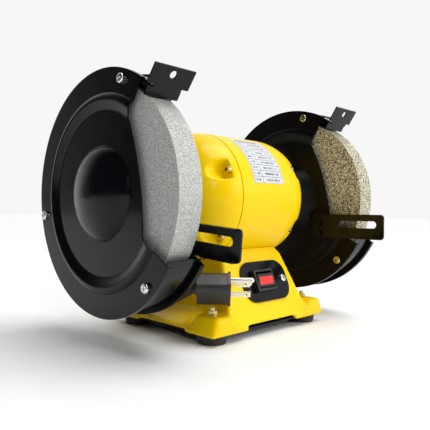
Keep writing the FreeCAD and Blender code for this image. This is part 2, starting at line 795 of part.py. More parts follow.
def pedestal_form(inset):
    """Outer form of the pedestal, drawn in by an inset for the inside."""
    top = neck_top - 2 * inset
    bottom = base_bottom - (1.0 if inset else 0.0)
    side = base_width / 2 - inset
    skirt = frustum(side, base_depth / 2 - inset, bottom, foot_lean, front_lean, skirt_top - inset)
    reach = neck_foot_width / 2 + (foot_top - bottom) * math.tan(math.radians(neck_lean)) - inset
    shoulder_z = top - neck_shoulder
    neck = frustum(reach, front_y(bottom, inset), bottom, neck_lean, front_lean, shoulder_z)
    half = reach - (shoulder_z - bottom) * math.tan(math.radians(neck_lean))
    cap = frustum(half, front_y(shoulder_z, inset), shoulder_z, 45.0, front_lean, top)
    pieces = [skirt, neck, cap]
    ramp_half = base_depth / 2 - foot_length - 4 - inset
    ramp = prism([(-ramp_half, bottom), (ramp_half, bottom), (ramp_half - 8, foot_top - 1 - inset),
                  (-ramp_half + 8, foot_top - 1 - inset)], -side, side)
    slope_top = foot_top - 1 - inset
    wedge_face = Part.makePolygon([Vector(-side, -base_depth, bottom), Vector(side, -base_depth, bottom),
                                   Vector(side - 2, -base_depth, skirt_top - inset),
                                   Vector(neck_foot_width / 2 - inset, -base_depth, slope_top),
                                   Vector(-neck_foot_width / 2 + inset, -base_depth, slope_top),
                                   Vector(-side + 2, -base_depth, skirt_top - inset),
                                   Vector(-side, -base_depth, bottom)])
    wedge = Part.Face(wedge_face).extrude(Vector(0, 2 * base_depth, 0))
    pieces.append(ramp.common(wedge))
    for sx in (-1, 1):
        for sy in (-1, 1):
            foot = foot_block(inset, bottom)
            foot = foot.mirror(Vector(0, 0, 0), Vector(1, 0, 0)) if sx < 0 else foot
            foot = foot.mirror(Vector(0, 0, 0), Vector(0, 1, 0)) if sy > 0 else foot
            link = block(min(sx * 40, sx * (foot_inner + 4)), max(sx * 40, sx * (foot_inner + 4)),
                         min(sy * 50, sy * 60), max(sy * 50, sy * 60), bottom, foot_top - inset - 1)
            pieces += [foot, link]
    return fused(pieces)


def foot_places():
    return [(sx * foot_bolt_x, sy * foot_bolt_y) for sx in (-1, 1) for sy in (-1, 1)]


def pedestal():
    """Cast pedestal: four feet, sloping front, saddle for the motor, hollow from below."""
    outer = pedestal_form(0.0)
    saddle = rod(motor_radius + saddle_gap, -base_width, base_width)
    outer = outer.cut(saddle)
    inside = pedestal_form(base_wall)
    inside = inside.cut(rod(motor_radius + saddle_gap + base_wall, -base_width, base_width))
    posts = []
    for x, y in foot_places():
        posts.append(Part.makeCylinder(8.0, foot_top - base_bottom, Vector(x, y, base_bottom + cover_sheet + 0.1)))
    shell = outer.cut(inside.cut(fused(posts)))
    arch = block(-arch_width / 2, arch_width / 2, -base_depth, base_depth, 0, base_bottom + arch_height)
    arch_side = block(-base_width, base_width, -base_depth / 2 + foot_length + 6, base_depth / 2 - foot_length - 6,
                      0, base_bottom + arch_height * 0.5)
    rim = outer.cut(block(-base_width / 2 + base_wall + 2, base_width / 2 - base_wall - 2,
                          -base_depth / 2 + base_wall + 2, base_depth / 2 - base_wall - 2, 0, 200))
    shell = shell.cut(arch.common(rim)).cut(arch_side.common(rim))
    for x, y in foot_places():
        shell = shell.cut(Part.makeCylinder(foot_bolt_radius + 0.3, 60, Vector(x, y, 0)))
    for x in (-saddle_screw_x, saddle_screw_x):
        shell = shell.cut(Part.makeCylinder(saddle_screw_radius + fit_gap, 90, Vector(x, 0, 10)))
    window = on_front(Part.makeBox(bezel_width - 1, bezel_height - 1, 40,
                                   Vector(-bezel_width / 2 + 0.5, -bezel_height / 2 + 0.5, -30)))
    shell = shell.cut(window)
    for x in (-plate_screw_half, plate_screw_half):
        hole = Part.makeCylinder(plate_screw_radius + 0.05, 40, Vector(x + plate_offset, 0, -30))
        shell = shell.cut(on_front(hole))
    hole = Part.makeCylinder(gland_radius + 0.05, 60, Vector(gland_x, 30, gland_z), Vector(0, 1, 0))
    return shell.cut(hole)


plate_screw_radius = 2.0
gland_radius = 7.0


def on_front(shape):
    """Place a shape drawn flat (x right, y up the slope, z out) on the pedestal's front."""
    lean = math.radians(front_lean)
    foot = Vector(0, -base_depth / 2, base_bottom)
    up = Vector(0, math.sin(lean), math.cos(lean))
    out = Vector(0, -math.cos(lean), math.sin(lean))
    matrix = FreeCAD.Matrix(1, up.x, out.x, 0, 0, up.y, out.y, 0, 0, up.z, out.z, 0, 0, 0, 0, 1)
    placement = FreeCAD.Placement(matrix)
    placement.Base = foot + up * switch_up
    copy = shape.copy()
    copy.Placement = placement.multiply(copy.Placement)
    return copy


def rounded_rectangle(width, height, corner, thickness, z=0.0):
    plate = Part.makeBox(width, height, thickness, Vector(-width / 2, -height / 2, z))
    edges = [e for e in plate.Edges if abs(e.BoundBox.ZLength - thickness) < 1e-6
             and e.BoundBox.XLength < 1e-6 and e.BoundBox.YLength < 1e-6]
    return plate.makeFillet(corner, edges)


def switch_plate():
    """Plate that carries the switch."""
    plate = rounded_rectangle(plate_width, plate_height, plate_corner, plate_sheet, 0.05)
    plate.translate(Vector(plate_offset, 0, 0))
    opening = Part.makeBox(bezel_width - 4, bezel_height - 4, 10, Vector(-bezel_width / 2 + 2,
                                                                      -bezel_height / 2 + 2, -3))
    plate = plate.cut(opening)
    for x in (-plate_screw_half, plate_screw_half):
        plate = plate.cut(Part.makeCylinder(plate_screw_radius + 0.1, 10, Vector(x + plate_offset, 0, -3)))
    return on_front(plate)


def switch_screws():
    screws = []
    for x in (-plate_screw_half, plate_screw_half):
        screws.append(on_front(pan_screw(Vector(x + plate_offset, 0, plate_sheet + 0.05), Vector(0, 0, 1), 4.0,
                                         2.4, plate_screw_radius, 9.0)))
    return Part.makeCompound(screws)


rocker_width = bezel_width - 2 * bezel_wall
rocker_height = bezel_height - 2 * bezel_wall
rocker_axis = 1.0           # height of the rocker's pivot above the pedestal's front
rocker_reach = 6.0          # rocker's face above its pivot
pin_radius = 1.2
pin_gap = 0.06


def switch_body():
    """Switch housing: raised frame in front, body behind the plate, pivot pin across."""
    base = plate_sheet + 0.1
    frame = Part.makeBox(bezel_width, bezel_height, bezel_proud, Vector(-bezel_width / 2, -bezel_height / 2, base))
    edges = [e for e in frame.Edges if e.BoundBox.ZMin > base + bezel_proud - 0.01]
    frame = frame.makeFillet(1.0, edges)
    well = Part.makeBox(rocker_width, rocker_height, bezel_proud + 12,
                        Vector(-rocker_width / 2, -rocker_height / 2, -8))
    back = Part.makeBox(bezel_width - 4.2, bezel_height - 4.2, 26,
                        Vector(-bezel_width / 2 + 2.1, -bezel_height / 2 + 2.1, -24 + base))
    pin = Part.makeCylinder(pin_radius, rocker_width + 0.8, Vector(-rocker_width / 2 - 0.4, 0, rocker_axis),
                            Vector(1, 0, 0))
    return on_front(fused([frame, back]).cut(well).fuse(pin).removeSplitter())


def rocker_shape():
    """Rocker seen along its pivot, tilted to its rest position."""
    half = rocker_height / 2 - 1.5
    width = rocker_width - 0.8
    section = Part.makePolygon([Vector(-width / 2, -half, rocker_reach - 3.2),
                                Vector(-width / 2, -half, rocker_reach - 0.6),
                                Vector(-width / 2, -half + 1.6, rocker_reach + 0.3),
                                Vector(-width / 2, half - 1.6, rocker_reach + 0.3),
                                Vector(-width / 2, half, rocker_reach - 0.6),
                                Vector(-width / 2, half, rocker_reach - 3.2),
                                Vector(-width / 2, 2.6, -2.6),
                                Vector(-width / 2, -2.6, -2.6),
                                Vector(-width / 2, -half, rocker_reach - 3.2)])
    shape = Part.Face(section).extrude(Vector(width, 0, 0))
    bore = Part.makeCylinder(pin_radius + pin_gap, rocker_width + 2, Vector(-rocker_width / 2 - 1, 0, 0),
                             Vector(1, 0, 0))
    return shape.cut(bore)


def insert_box(grow):
    return Part.makeBox(insert_width + 2 * grow, insert_height + 2 * grow, 3.0 + grow,
                        Vector(-insert_width / 2 - grow, -insert_height / 2 - grow, rocker_reach - 2.2 - grow))


def tilted(shape):
    copy = shape.copy()
    copy.rotate(Vector(0, 0, 0), Vector(1, 0, 0), rocker_rest)
    copy.translate(Vector(0, 0, rocker_axis))
    return on_front(copy)


def bottom_cover():
    """Sheet that closes the pedestal from below."""
    inset = base_wall + 1.4
    sheet_plate = block(-base_width / 2 + inset, base_width / 2 - inset, -base_depth / 2 + inset,
                        base_depth / 2 - inset, base_bottom, base_bottom + cover_sheet)
    for x, y in foot_places():
        sheet_plate = sheet_plate.cut(Part.makeCylinder(foot_bolt_radius + 0.2, 20, Vector(x, y, 0)))
    return sheet_plate


def rubber_feet():
    """Four rubber feet, waisted, each with a recess for its bolt's head."""
    feet = []
    for x, y in foot_places():
        foot = Part.makeCone(rubber_radius - 1.5, rubber_radius, base_bottom - 0.02, Vector(x, y, 0))
        foot = foot.cut(Part.makeCylinder(5.2, 3.6, Vector(x, y, -0.01)))
        feet.append(foot.cut(Part.makeCylinder(foot_bolt_radius + 0.1, 20, Vector(x, y, 0))))
    return Part.makeCompound(feet)


def foot_bolts():
    """Bolts up through the feet, with nuts on top; their tips show above the casting."""
    bolts = []
    for x, y in foot_places():
        head = Part.makeCylinder(4.8, 2.6, Vector(x, y, 0.9))
        shank = Part.makeCylinder(foot_bolt_radius, foot_top + 6.5 - 1, Vector(x, y, 1))
        nut = hexagon(8.0, 0, 3.2, Vector(x, y, foot_top + 0.05), Vector(0, 0, 1))
        bolts.append(fused([head, shank, nut]))
    return Part.makeCompound(bolts)


def saddle_screws():
    """Two screws from inside the pedestal up into the motor body."""
    screws = []
    seat = shaft_height - motor_radius - saddle_gap - base_wall
    for x in (-saddle_screw_x, saddle_screw_x):
        screw = Part.makeCylinder(saddle_screw_radius - 0.02, base_wall + body_wall, Vector(x, 0, seat - 0.5))
        head = Part.makeCylinder(5.2, 4.5, Vector(x, 0, seat - 4.52))
        screws.append(fused([screw, head]))
    return Part.makeCompound(screws)


def run_capacitor():
    """Oil-filled capacitor lying in the pedestal."""
    can = Part.makeCylinder(16.0, 62.0, Vector(-31, 22, 34), Vector(1, 0, 0))
    lid = Part.makeCylinder(13.0, 4.0, Vector(30.5, 22, 34), Vector(1, 0, 0))
    return fused([can, lid])


def capacitor_clip():
    """Strap that holds the capacitor to the bottom cover."""
    top = base_bottom + cover_sheet + 0.05
    clip = ring(17.6, 16.1, -6, 6, Vector(0, 22, 34)).common(block(-6, 6, 0, 44, 22, 60))
    legs = [block(-6, 6, 22 + s - 0.75, 22 + s + 0.75, top, 36) for s in (-16.85, 16.85)]
    foot = block(-6, 6, 22 - 16.85, 22 + 16.85, top, top + 1.5)
    return fused([clip, foot] + legs)


def terminal_block():
    """Terminal block beside the switch."""
    strip = block(-28, 8, -14, -2, base_bottom + cover_sheet + 0.1, 24)
    for k in range(4):
        strip = strip.cut(Part.makeCylinder(2.0, 10, Vector(-23.5 + 9 * k, -8, 19)))
    return strip


# ---------------------------------------------------------------- lead and plug
def cord_gland():
    """Grommet in the pedestal's back wall with a tapered sleeve over the lead."""
    wall_y = front_y(gland_z)
    grommet = Part.makeCylinder(gland_radius, 11, Vector(gland_x, wall_y - 9, gland_z), Vector(0, 1, 0))
    collar = Part.makeCylinder(gland_radius + 2.5, 2.4, Vector(gland_x, wall_y + 4.7, gland_z), Vector(0, 1, 0))
    neck_part = Part.makeCylinder(gland_radius - 0.5, 6.5, Vector(gland_x, wall_y, gland_z), Vector(0, 1, 0))
    sleeve = Part.makeCone(gland_radius - 0.8, cord_radius + 0.7, gland_length,
                           Vector(gland_x, wall_y + 6.0, gland_z), Vector(0, 1, 0))
    return fused([grommet, neck_part, collar, sleeve])


def gland_tip():
    return Vector(gland_x, front_y(gland_z) + 6.0 + gland_length, gland_z)


def tube_along(points, radius):
    """Round tube on straight runs joined by tangent arcs, each as large as its runs allow."""
    edges = []
    start = points[0]
    length = 0.0
    radii = []
    for before, here, after in zip(points, points[1:], points[2:]):
        run_in = here - before
        run_out = after - here
        shorter = min(run_in.Length, run_out.Length)
        turn = run_in.getAngle(run_out)
        bend = 0.45 * shorter / math.tan(turn / 2)
        radii.append(bend)
        cut = 0.45 * shorter
        first = here - run_in.normalize() * cut
        last = here + run_out.normalize() * cut
        inward = (first + last) * 0.5 - here
        to_centre = bend / math.cos(turn / 2)
        middle = here + inward.normalize() * (to_centre - bend)
        edges.append(Part.LineSegment(start, first).toShape())
        edges.append(Part.Arc(first, middle, last).toShape())
        length += (first - start).Length + bend * turn
        start = last
    edges.append(Part.LineSegment(start, points[-1]).toShape())
    length += (points[-1] - start).Length
    circle = Part.Wire(Part.makeCircle(radius, points[0], (points[1] - points[0]).normalize()))
    tube = Part.Wire(edges).makePipeShell([circle], True, True)
    expected = math.pi * radius ** 2 * length
    print("tube length %.0f, volume ratio %.4f, smallest bend %.1f" % (length, tube.Volume / expected, min(radii)))
    return tube


coil_half = 14.6            # half the width of the band of turns
coil_height = 2 * 2 * cord_radius + 0.3


def coil_point(angle, z):
    turn = math.radians(angle)
    return Vector(coil_centre[0] + coil_mean * math.cos(turn), coil_centre[1] + coil_mean * math.sin(turn), z)


def cord_coil():
    """Outer form of the put-away turns, lying on the bench."""
    base = Vector(coil_centre[0], coil_centre[1], 0)
    coil = Part.makeCylinder(coil_mean + coil_half, coil_height, base)
    coil = coil.cut(Part.makeCylinder(coil_mean - coil_half, coil_height, base))
    rims = [e for e in coil.Edges if e.BoundBox.ZLength < 1e-6 and e.Length > 20]
    return coil.makeFillet(2.5, rims)


def coil_tie():
    """Tie round the coil."""
    middle = coil_point(60, 0)
    reach = coil_half + 0.5
    outer = Part.makeBox(2 * reach + 2.4, 8, coil_height + 1.2, Vector(-reach - 1.2, -4, 0))
    inner = Part.makeBox(2 * reach, 10, coil_height + 0.05, Vector(-reach, -5, 0))
    tie = outer.cut(inner)
    tie.rotate(Vector(0, 0, 0), Vector(0, 0, 1), 60)
    tie.translate(middle)
    return tie


# points chosen by hand: from the gland down to the coil, and from the coil over the left side to the plug
gland_route = [Vector(-30, 125, 27), Vector(-30, 149, 14.5), Vector(-25, 173, 5), Vector(-8, 193, 3.9),
               Vector(21, 200.6, 3.75)]
plug_route = [Vector(16.2, 100.5, 11.3), Vector(-12, 106, 7.5), Vector(-38, 108, 4.4), Vector(-62, 104, 12),
              Vector(-78, 88, 27), Vector(-82, 66, 34), Vector(-82, 44, 33), Vector(-85, 22, 25),
              Vector(-91, 4, 24), Vector(-99, -16, 30)]

plug_axis = Vector(0.705, -0.709, 0).normalize()
plug_back = Vector(-90.2, -50.2, 55.0)
plug_length = 35.0
plug_low = 4.0              # the pins stand this far above the body's centre
plug_roll = 38.0
relief_length = 24.0


def in_plug(shape):
    """Place a shape drawn along +Z (x across the blades, y towards the earth pin) on the plug."""
    side = Vector(0, 0, 1).cross(plug_axis).normalize()
    up = Vector(0, 0, 1)
    matrix = FreeCAD.Matrix(side.x, up.x, plug_axis.x, 0, side.y, up.y, plug_axis.y, 0,
                            side.z, up.z, plug_axis.z, 0, 0, 0, 0, 1)
    copy = shape.copy()
    copy.rotate(Vector(0, 0, 0), Vector(0, 0, 1), plug_roll)
    placement = FreeCAD.Placement(matrix)
    placement.Base = plug_back
    copy.Placement = placement.multiply(copy.Placement)
    return copy


def plug_body():
    """Moulded three-pin plug: flange in front, gripped body, rear collar."""
    body = rounded_rectangle(23, 26, 6, plug_length - 6, 3.5)
    front = rounded_rectangle(25.5, 29, 7, 2.6, plug_length - 2.6)
    for shape in (body, front):
        shape.translate(Vector(0, -plug_low, 0))
    collar = Part.makeCone(7.5, 9.0, 3.6)
    return in_plug(fused([body, front, collar]))


def plug_pins():
    """Two flat blades and the round earth pin."""
    pins = []
    for x in (-6.35, 6.35):
        blade = Part.makeBox(1.5, 6.4, 18.5, Vector(x - 0.75, -7.2, plug_length + 0.02))
        blade = blade.cut(Part.makeCylinder(1.6, 6, Vector(x - 3, -4.0, plug_length + 14), Vector(1, 0, 0)))
        pins.append(in_plug(blade))
    earth = Part.makeCylinder(2.4, 19.5, Vector(0, 8.0, plug_length + 0.02)).fuse(
        Part.makeSphere(2.4, Vector(0, 8.0, plug_length + 19.5)))
    pins.append(in_plug(earth.removeSplitter()))
    return Part.makeCompound(pins)


def relief_end():
    """Far end of the plug's strain relief, where the lead comes out of it."""
    direction = (plug_route[-1] - plug_back).normalize()
    return plug_back + direction * relief_length, direction


def plug_relief():
    """Ribbed, tapered strain relief between plug and lead."""
    end, direction = relief_end()
    sleeve = Part.makeCone(6.4, cord_radius + 0.8, relief_length - 0.1, plug_back + direction * 0.1, direction)
    return sleeve.cut(in_plug(Part.makeBox(60, 60, 60, Vector(-30, -30, 0))))


# ---------------------------------------------------------------- write the pieces
front_reach = -min(rest_bracket("left").BoundBox.YMin, rest_bracket("right").BoundBox.YMin)
shaft_y = (front_reach - guard_radius) / 2
print("shaft moved back by", shaft_y)
save("motor_body", motor_body())
save_pair("end_bell", end_bell)
save_both("bell_screws", bell_screws)
save("stator_core", stator_core())
save_both("stator_windings", winding)
save("rotor_core", rotor_core())
save("shaft", shaft())
save_pair("bearing", bearing)
save("wave_washer", wave_washer("right"))
save("rating_plate", rating_plate())

save_pair("wheel", wheel)
save_both("blotters", blotters)
save_pair("inner_flange", inner_flange)
save_pair("outer_flange", outer_flange)
save_pair("arbor_nut", arbor_nut)

save_pair("guard_cover", guard_cover)
save_pair("guard_plate", guard_plate)
save_pair("guard_band", guard_band)
save_both("cover_screws", cover_screws)
save_both("plate_screws", plate_screws)
save_both("hub_screws", hub_screws)
save_pair("shield_bracket", shield_bracket)
save_pair("spark_deflector", spark_deflector)
save_pair("rest_bracket", rest_bracket)
save_both("rest_rivets", rest_rivets)

save("pedestal", pedestal())
save("bottom_cover", bottom_cover())
save("rubber_feet", rubber_feet())
save("foot_bolts", foot_bolts())
save("saddle_screws", saddle_screws())
save("run_capacitor", run_capacitor())
save("capacitor_clip", capacitor_clip())
save("terminal_block", terminal_block())
save("switch_plate", switch_plate())
save("switch_screws", switch_screws())
save("switch_body", switch_body())
save("rocker", tilted(rocker_shape().cut(insert_box(0.0))))
save("rocker_insert", tilted(insert_box(-0.02)))

save("cord_gland", cord_gland())
save("plug_body", plug_body())
save("plug_pins", plug_pins())
save("plug_relief", plug_relief())
relief_tip, relief_direction = relief_end()
save("cord_from_gland", tube_along([gland_tip()] + gland_route, cord_radius).cut(cord_coil()).cut(cord_gland()))
save("cord_to_plug", tube_along(plug_route[:-1] + [relief_tip], cord_radius).cut(cord_coil()).cut(plug_relief()))
save("cord_coil", cord_coil())
save("coil_tie", coil_tie())
print("pivot of the rocker", on_front(Part.Vertex(0, 0, rocker_axis)).Point + Vector(0, shaft_y, 0))
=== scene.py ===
# %% [markdown]
# A bench grinder is mostly castings, pressed sheet and bought-in parts. The CAD frame already holds
# every piece at its real place, so this lesson gives the pieces their finish, and models again the
# few whose softness CAD leaves out: the rounded castings and the lead.

# %% Load the frame
import json
import math

import bpy
from mathutils import Matrix, Vector


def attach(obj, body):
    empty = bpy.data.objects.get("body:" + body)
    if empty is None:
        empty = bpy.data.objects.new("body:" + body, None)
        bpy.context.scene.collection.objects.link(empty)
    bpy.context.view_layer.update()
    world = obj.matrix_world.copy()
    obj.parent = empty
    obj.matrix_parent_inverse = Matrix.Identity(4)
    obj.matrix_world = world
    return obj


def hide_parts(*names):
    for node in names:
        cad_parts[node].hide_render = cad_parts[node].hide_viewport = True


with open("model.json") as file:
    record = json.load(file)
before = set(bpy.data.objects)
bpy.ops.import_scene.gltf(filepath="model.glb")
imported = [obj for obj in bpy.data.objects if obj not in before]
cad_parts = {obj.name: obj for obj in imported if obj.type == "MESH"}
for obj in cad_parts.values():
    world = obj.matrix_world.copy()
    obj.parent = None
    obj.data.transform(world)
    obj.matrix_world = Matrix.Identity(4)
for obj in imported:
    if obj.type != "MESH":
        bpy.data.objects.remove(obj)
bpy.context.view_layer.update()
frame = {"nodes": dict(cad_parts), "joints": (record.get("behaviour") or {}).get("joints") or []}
bpy.ops.object.select_all(action="DESELECT")
node = frame["nodes"]
spin = next(j for j in frame["joints"] if j["name"] == "rotor_spin")
SHAFT = Vector(spin["pos_m"])
MM = 0.001
print("nodes", len(node), "shaft", tuple(SHAFT))

# %% [markdown]
# The camera stands low in front of the left-hand wheel, level with the shaft, with a slightly long
# lens. Its place is worked out from the shaft, so it keeps its view if the frame is moved.

# %% Camera
camera_place = SHAFT + Vector((-417.9, -403.5, -9.6)) * MM
turn, lift, roll = (math.radians(a) for a in (-45.18, 1.0, 0.73))
back = Vector((math.sin(turn) * math.cos(lift), -math.cos(turn) * math.cos(lift), math.sin(lift)))
right = (-back).cross(Vector((0, 0, 1))).normalized()
up = right.cross(-back)
rolled_right = right * math.cos(roll) + up * math.sin(roll)
rolled_up = up * math.cos(roll) - right * math.sin(roll)
camera_data = bpy.data.cameras.new("camera")
camera_data.lens = 43.22
camera_data.sensor_width = 36
camera = bpy.data.objects.new("camera", camera_data)
bpy.context.scene.collection.objects.link(camera)
axes = Matrix((rolled_right, rolled_up, back)).transposed().to_4x4()
camera.matrix_world = Matrix.Translation(camera_place) @ axes
bpy.context.scene.camera = camera
print("camera", tuple(round(v, 3) for v in camera_place))

# %% [markdown]
# A white sweep under soft boxes gives the even light of a catalogue picture. The room is white behind
# the grinder and dark behind its left end, so the glossy black covers stay black, and large boxes
# over the top and in front light the yellow castings and the floor.

# %% Studio
bpy.ops.mesh.primitive_plane_add(size=12, location=(0, 0, 0))
floor = bpy.context.object
floor.name = "studio_floor"
world = bpy.data.worlds.new("studio")
world.use_nodes = True
sky = world.node_tree
facing = sky.nodes.new("ShaderNodeVectorMath")
facing.operation = "DOT_PRODUCT"
facing.inputs[1].default_value = (0.83, 0.55, 0.0)
sky.links.new(sky.nodes.new("ShaderNodeTexCoord").outputs["Generated"], facing.inputs[0])
bright_side = sky.nodes.new("ShaderNodeMapRange")
bright_side.interpolation_type = "SMOOTHSTEP"
bright_side.inputs["From Min"].default_value = -0.1
bright_side.inputs["From Max"].default_value = 0.45
bright_side.inputs["To Min"].default_value = 0.035
bright_side.inputs["To Max"].default_value = 0.93
sky.links.new(facing.outputs["Value"], bright_side.inputs["Value"])
sky.links.new(bright_side.outputs["Result"], sky.nodes["Background"].inputs["Color"])
bpy.context.scene.world = world
bpy.context.scene.view_settings.view_transform = "Standard"


def soft_box(name, place, aim, width, height, power):
    """Rectangular area light at a place, turned to its aim."""
    light = bpy.data.lights.new(name, "AREA")
    light.shape = "RECTANGLE"
    light.size, light.size_y = width, height
    light.energy = power
    lamp = bpy.data.objects.new(name, light)
    bpy.context.scene.collection.objects.link(lamp)
    lamp.location = place
    lamp.rotation_euler = (Vector(aim) - Vector(place)).to_track_quat("-Z", "Y").to_euler()
    return lamp


soft_box("front_box", (0.9, -1.6, 0.7), (0, 0, 0.12), 1.2, 0.8, 13)
soft_box("window", (-1.0, -1.6, 1.0), (0, 0, 0.12), 0.35, 0.5, 6)
ceiling = bpy.data.lights.new("ceiling", "SUN")
ceiling.energy = 2.3
ceiling.angle = math.radians(45)
ceiling_lamp = bpy.data.objects.new("ceiling", ceiling)
ceiling_lamp.rotation_euler = (math.radians(14), math.radians(14), 0)
bpy.context.scene.collection.objects.link(ceiling_lamp)
print("lights", len(bpy.data.lights))

# %% [markdown]
# Effects that several finishes share are node groups, built once. Grain turns a noise at a chosen
# size into a height for bump, and a small change of roughness. Speckle throws darker and lighter
# grits over a base colour, as on a bonded wheel.


# %% Shared node groups
def new_group(name, inputs, outputs):
    """Empty shader group with named sockets, given as (name, kind, value)."""
    group = bpy.data.node_groups.new(name, "ShaderNodeTree")
    for label, kind, value in inputs:
        socket = group.interface.new_socket(label, in_out="INPUT", socket_type=kind)
        if value is not None:
            socket.default_value = value
    for label, kind in outputs:
        group.interface.new_socket(label, in_out="OUTPUT", socket_type=kind)
    return group, group.nodes.new("NodeGroupInput"), group.nodes.new("NodeGroupOutput")


def noise(tree, vector, scale, detail=3.0):
    texture = tree.nodes.new("ShaderNodeTexNoise")
    texture.inputs["Detail"].default_value = detail
    tree.links.new(vector, texture.inputs["Vector"])
    if isinstance(scale, (int, float)):
        texture.inputs["Scale"].default_value = scale
    else:
        tree.links.new(scale, texture.inputs["Scale"])
    return texture.outputs["Fac"]


def spread(tree, value, low, high, to_low, to_high):
    """Map Range node from one span to another."""
    span = tree.nodes.new("ShaderNodeMapRange")
    for label, number in (("From Min", low), ("From Max", high)):
        span.inputs[label].default_value = number
    for label, number in (("To Min", to_low), ("To Max", to_high)):
        if isinstance(number, (int, float)):
            span.inputs[label].default_value = number
        else:
            tree.links.new(number, span.inputs[label])
    tree.links.new(value, span.inputs["Value"])
    return span.outputs["Result"]


def mixed(tree, factor, first, second):
    """Mix Color node; each colour is a socket or an RGBA value."""
    mix = tree.nodes.new("ShaderNodeMix")
    mix.data_type = "RGBA"
    tree.links.new(factor, mix.inputs["Factor"])
    for place, colour in ((6, first), (7, second)):
        if isinstance(colour, tuple):
            mix.inputs[place].default_value = colour
        else:
            tree.links.new(colour, mix.inputs[place])
    return mix.outputs[2]


grain, gin, gout = new_group("surface_grain", [("Scale", "NodeSocketFloat", 400.0), ("Smooth", "NodeSocketFloat", 0.2),
                             ("Rough", "NodeSocketFloat", 0.35)],
                             [("Height", "NodeSocketFloat"), ("Roughness", "NodeSocketFloat")])
place = grain.nodes.new("ShaderNodeTexCoord").outputs["Object"]
fine = noise(grain, place, gin.outputs["Scale"])
grain.links.new(fine, gout.inputs["Height"])
patches = noise(grain, place, 38.0)
grain.links.new(spread(grain, patches, 0.3, 0.7, gin.outputs["Smooth"], gin.outputs["Rough"]),
                gout.inputs["Roughness"])

speckle, sin_, sout = new_group("bonded_grit", [("Base", "NodeSocketColor", None), ("Dark", "NodeSocketColor", None),
                                ("Light", "NodeSocketColor", None), ("Scale", "NodeSocketFloat", 900.0)],
                                [("Color", "NodeSocketColor"), ("Height", "NodeSocketFloat")])
place = speckle.nodes.new("ShaderNodeTexCoord").outputs["Object"]
grit = noise(speckle, place, sin_.outputs["Scale"], 2.0)
tone = mixed(speckle, spread(speckle, grit, 0.50, 0.62, 0.0, 1.0), sin_.outputs["Base"], sin_.outputs["Light"])
finer = speckle.nodes.new("ShaderNodeMath")
finer.operation = "MULTIPLY"
finer.inputs[1].default_value = 1.27
speckle.links.new(sin_.outputs["Scale"], finer.inputs[0])
pits = noise(speckle, place, finer.outputs[0], 1.0)
tone = mixed(speckle, spread(speckle, pits, 0.50, 0.38, 0.0, 1.0), tone, sin_.outputs["Dark"])
speckle.links.new(tone, sout.inputs["Color"])
speckle.links.new(grit, sout.inputs["Height"])
print("groups", [g.name for g in bpy.data.node_groups])

# %% [markdown]
# Most finishes differ only in colour, gloss and the size of their grain. One maker sets them from
# plain numbers, with the grain group feeding roughness and bump.


# %% Plain finishes
def finish(name, colour, metal=0.0, gloss=(0.2, 0.3), size=400.0, depth=0.00002, coat=0.0, mottle=0.06,
           shine=0.5):
    """Material with grain, slight mottling and an optional clear coat."""
    material = bpy.data.materials.new(name)
    material.use_nodes = True
    tree = material.node_tree
    shader = tree.nodes["Principled BSDF"]
    shader.inputs["Metallic"].default_value = metal
    shader.inputs["Coat Weight"].default_value = coat
    shader.inputs["Specular IOR Level"].default_value = shine
    shader.inputs["Coat Roughness"].default_value = 0.06
    texture = tree.nodes.new("ShaderNodeGroup")
    texture.node_tree = grain
    texture.inputs["Scale"].default_value = size
    texture.inputs["Smooth"].default_value, texture.inputs["Rough"].default_value = gloss
    tree.links.new(texture.outputs["Roughness"], shader.inputs["Roughness"])
    darker = tuple(c * (1 - mottle) for c in colour) + (1.0,)
    tone = mixed(tree, texture.outputs["Height"], colour + (1.0,), darker)
    tree.links.new(tone, shader.inputs["Base Color"])
    bump = tree.nodes.new("ShaderNodeBump")
    bump.inputs["Distance"].default_value = depth
    tree.links.new(texture.outputs["Height"], bump.inputs["Height"])
    tree.links.new(bump.outputs["Normal"], shader.inputs["Normal"])
    return material


yellow = finish("yellow_enamel", (1.0, 0.67, 0.0), gloss=(0.24, 0.36), size=260, depth=0.0001, coat=0.08,
                shine=0.14)
black = finish("black_enamel", (0.003, 0.0035, 0.005), gloss=(0.12, 0.2), size=300, depth=0.00002,
               coat=0.12, shine=0.16)
dull_black = finish("black_inner", (0.003, 0.003, 0.0035), gloss=(0.3, 0.42), size=300, depth=0.00002, shine=0.12)
bright = finish("bright_zinc", (0.78, 0.78, 0.76), metal=1.0, gloss=(0.14, 0.3), size=900)
gold_zinc = finish("yellow_zinc", (0.74, 0.62, 0.33), metal=1.0, gloss=(0.16, 0.34), size=900, mottle=0.4)
steel = finish("turned_steel", (0.56, 0.57, 0.58), metal=1.0, gloss=(0.2, 0.36), size=700)
laminated = finish("lamination", (0.25, 0.25, 0.27), metal=1.0, gloss=(0.4, 0.6), size=900)
copper = finish("varnished_copper", (0.55, 0.2, 0.06), metal=0.8, gloss=(0.25, 0.45), size=900)
paper = finish("blotter_paper", (0.75, 0.72, 0.62), gloss=(0.7, 0.9), size=1500)
rubber = finish("foot_rubber", (0.014, 0.014, 0.015), gloss=(0.5, 0.7), size=1200, depth=0.00008)
plastic = finish("switch_plastic", (0.016, 0.016, 0.018), gloss=(0.28, 0.42), size=1600, depth=0.00004, shine=0.3)
red = finish("red_insert", (0.80, 0.006, 0.004), gloss=(0.16, 0.26), size=900)
lead_skin = finish("lead_rubber", (0.016, 0.016, 0.017), gloss=(0.38, 0.52), size=1400, depth=0.00004)
moulded = finish("plug_plastic", (0.02, 0.02, 0.022), gloss=(0.3, 0.45), size=1300, depth=0.00006)
nickel = finish("nickel_pins", (0.80, 0.77, 0.66), metal=1.0, gloss=(0.12, 0.26), size=900)
can_metal = finish("capacitor_can", (0.7, 0.7, 0.72), metal=1.0, gloss=(0.3, 0.45), size=500)
